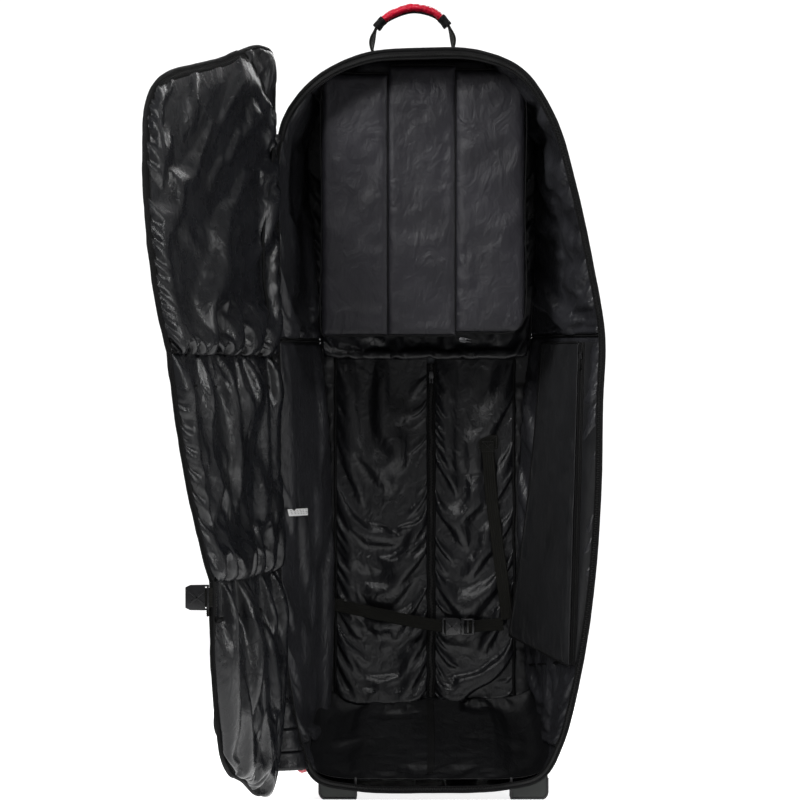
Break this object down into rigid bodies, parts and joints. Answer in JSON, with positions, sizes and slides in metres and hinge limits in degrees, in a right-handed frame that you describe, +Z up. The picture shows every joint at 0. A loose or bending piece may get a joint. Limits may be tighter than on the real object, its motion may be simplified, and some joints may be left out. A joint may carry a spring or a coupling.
{
  "type": "wheeled snowboard bag",
  "caption": "Upright padded wheeled bag, opened by a side-hinged zip lid; lined compartment with folded pad, cinch strap and side pocket, top and lower grab handles.",
  "frame": {"origin": "on the floor, under the middle of the bounding box of the standing, open bag", "axes": "+Z up along the bag's length, -Y out of the open front, +X towards the side away from the lid's hinge"},
  "size_m": [0.9406, 0.968, 1.5931],
  "materials": {
    "outer": "matt black woven polyester, coated inside",
    "lining": "black satin nylon lining, wrinkled, blue-grey sheen",
    "pad": "charcoal satin nylon over foam",
    "webbing": "matt black woven webbing",
    "tape": "black zip tape and ribbed binding",
    "mesh": "smooth dark pocket cloth",
    "plastic": "matt black moulded plastic",
    "foot": "grey moulded face, satin",
    "buckle": "dark grey acetal, satin gloss",
    "grip": "red satin wrap over foam",
    "board": "dark grey plastic sheet",
    "label": "plain white woven label",
    "tyre": "soft black tread",
    "hub": "grey nylon, satin",
    "steel": "plated steel"
  },
  "bodies": {
    "shell": {"base_tub": "plastic", "base_floor": "lining", "left_wheel_housing": "plastic", "right_wheel_housing": "plastic", "left_axle": "steel", "right_axle": "steel", "left_front_foot": "foot", "right_front_foot": "foot", "gusset_lower_right": "outer", "gusset_upper_right": "outer", "gusset_dome": "outer", "gusset_upper_left": "outer", "gusset_lower_left": "outer", "rim_zip_tape": "tape", "hinge_tape": "tape", "back_panel": "outer", "stiffener_board": "board", "liner_lower_left": "lining", "liner_lower_right": "lining", "liner_zip_tape": "tape", "liner_upper": "lining", "side_pocket": "mesh", "side_pocket_zip_tape": "tape", "care_label": "label", "pad_hanger": "webbing", "cinch_strap_left": "webbing", "cinch_buckle_socket": "buckle", "cinch_strap_right": "webbing", "upright_strap": "webbing", "shell_compression_strap": "webbing", "shell_compression_plug": "buckle"},
    "lid_upper": {"lid_upper_panel": "outer", "lid_upper_lining": "lining"},
    "lid_middle": {"lid_middle_panel": "outer", "lid_middle_lining": "lining", "lid_large_pocket": "outer"},
    "lid_lower": {"lid_lower_panel": "outer", "lid_lower_lining": "lining", "lid_small_pocket": "outer", "lid_compression_strap": "webbing"},
    "lid_buckle": {"lid_compression_socket": "buckle"},
    "large_pocket_pull": {"lid_large_pocket_slider": "steel"},
    "small_pocket_pull": {"lid_small_pocket_slider": "steel"},
    "left_wheel": {"left_tyre": "tyre", "left_wheel_hub": "hub"},
    "right_wheel": {"right_tyre": "tyre", "right_wheel_hub": "hub"},
    "top_handle": {"top_handle_left_webbing": "webbing", "top_handle_right_webbing": "webbing", "top_handle_grip": "grip"},
    "lower_handle": {"lower_handle_front_webbing": "webbing", "lower_handle_rear_webbing": "webbing", "lower_handle_grip": "grip"},
    "pad": {"pad_centre_panel": "pad", "pad_rear_layer": "pad"},
    "pad_left_wing": {"pad_left_panel": "pad"},
    "pad_right_wing": {"pad_right_panel": "pad"},
    "cinch_plug": {"cinch_buckle_plug": "buckle"},
    "side_pocket_pull": {"side_pocket_slider": "steel"},
    "liner_pull": {"liner_zip_slider": "steel"}
  },
  "joints": [
    {"name": "lid_upper_hinge", "type": "hinge", "parent": "shell", "child": "lid_upper", "pos_m": [-0.19249, 0.17045, 1.2], "axis": [0, 0, -1], "range_deg": [-115, 60]},
    {"name": "lid_middle_hinge", "type": "hinge", "parent": "shell", "child": "lid_middle", "pos_m": [-0.19249, 0.17045, 0.676], "axis": [0, 0, -1], "range_deg": [-107, 55.84]},
    {"name": "lid_lower_hinge", "type": "hinge", "parent": "shell", "child": "lid_lower", "pos_m": [-0.19249, 0.17045, 0.23], "axis": [0, 0, -1], "range_deg": [-99.5, 51.92]},
    {"name": "lid_buckle_swing", "type": "hinge", "parent": "lid_lower", "child": "lid_buckle", "pos_m": [-0.30142, -0.47745, 0.414], "axis": [0, 0, 1], "range_deg": [-20, 140]},
    {"name": "large_pocket_zip", "type": "slide", "parent": "lid_middle", "child": "large_pocket_pull", "axis": [-0.2924, -0.9563, 0], "range_m": [-0.25, 0.26]},
    {"name": "small_pocket_zip", "type": "slide", "parent": "lid_lower", "child": "small_pocket_pull", "axis": [-0.165, -0.9863, 0], "range_m": [-0.21, 0.25]},
    {"name": "left_wheel_spin", "type": "hinge", "parent": "shell", "child": "left_wheel", "pos_m": [-0.05949, 0.43895, 0.045], "axis": [1, 0, 0], "continuous": true},
    {"name": "right_wheel_spin", "type": "hinge", "parent": "shell", "child": "right_wheel", "pos_m": [0.31251, 0.43895, 0.045], "axis": [1, 0, 0], "continuous": true},
    {"name": "top_handle_fold", "type": "hinge", "parent": "shell", "child": "top_handle", "pos_m": [0.08451, 0.32095, 1.506], "axis": [1, 0, 0], "range_deg": [-40, 40]},
    {"name": "lower_handle_lift", "type": "hinge", "parent": "shell", "child": "lower_handle", "pos_m": [-0.13149, 0.31395, 0.104], "axis": [0.1775, 0.9841, 0], "range_deg": [0, 90]},
    {"name": "pad_lift", "type": "hinge", "parent": "shell", "child": "pad", "pos_m": [0.10451, 0.29295, 1.446], "axis": [-1, 0, 0], "range_deg": [0, 20]},
    {"name": "pad_left_fold", "type": "hinge", "parent": "pad", "child": "pad_left_wing", "pos_m": [0.03551, 0.25095, 1.18], "axis": [0, 0, 1], "range_deg": [0, 95]},
    {"name": "pad_right_fold", "type": "hinge", "parent": "pad", "child": "pad_right_wing", "pos_m": [0.17151, 0.25095, 1.18], "axis": [0, 0, -1], "range_deg": [0, 95]},
    {"name": "cinch_buckle_release", "type": "slide", "parent": "shell", "child": "cinch_plug", "axis": [1, 0, 0], "range_m": [0, 0.035]},
    {"name": "side_pocket_zip", "type": "slide", "parent": "shell", "child": "side_pocket_pull", "axis": [-0.0315, -0.0726, -0.9969], "range_m": [0, 0.55]},
    {"name": "liner_zip", "type": "slide", "parent": "shell", "child": "liner_pull", "axis": [0, 0, -1], "range_m": [0, 0.58]}
  ],
  "couplings": [
    {"joint": "lid_middle_hinge", "follows": "lid_upper_hinge", "ratio": 0.93044},
    {"joint": "lid_lower_hinge", "follows": "lid_upper_hinge", "ratio": 0.86522}
  ]
}
